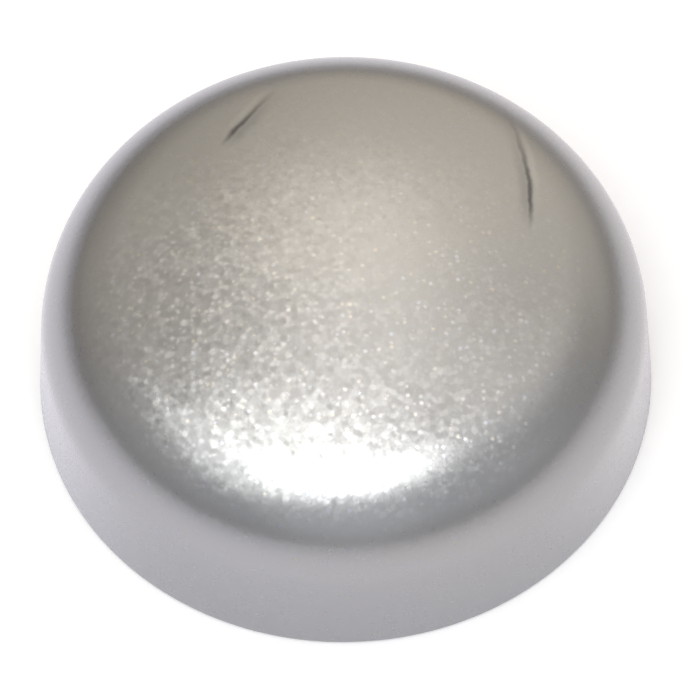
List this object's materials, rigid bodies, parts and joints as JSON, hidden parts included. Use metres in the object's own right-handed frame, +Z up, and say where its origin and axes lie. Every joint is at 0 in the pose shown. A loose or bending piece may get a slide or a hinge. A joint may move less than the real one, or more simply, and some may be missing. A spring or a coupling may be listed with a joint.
{
  "type": "hex bolt cover",
  "caption": "Round domed cover, painted silver, that presses over a hex bolt head and its washer; hex collar, grip ribs and gussets inside.",
  "frame": {"origin": "centre of the rim plane, which the cover rests on, on the bolt's axis", "axes": "+Z up the bolt's axis through the crown; two flats of the hex socket face +Y and -Y, two corners point along +X and -X"},
  "size_m": [0.034, 0.034, 0.013],
  "materials": {
    "silver_paint": "moulded plastic sprayed outside with coarse silver flake paint under a gloss clear coat; bare dark grey inside"
  },
  "bodies": {
    "root": {"bolt_cover": "silver_paint"}
  },
  "joints": []
}
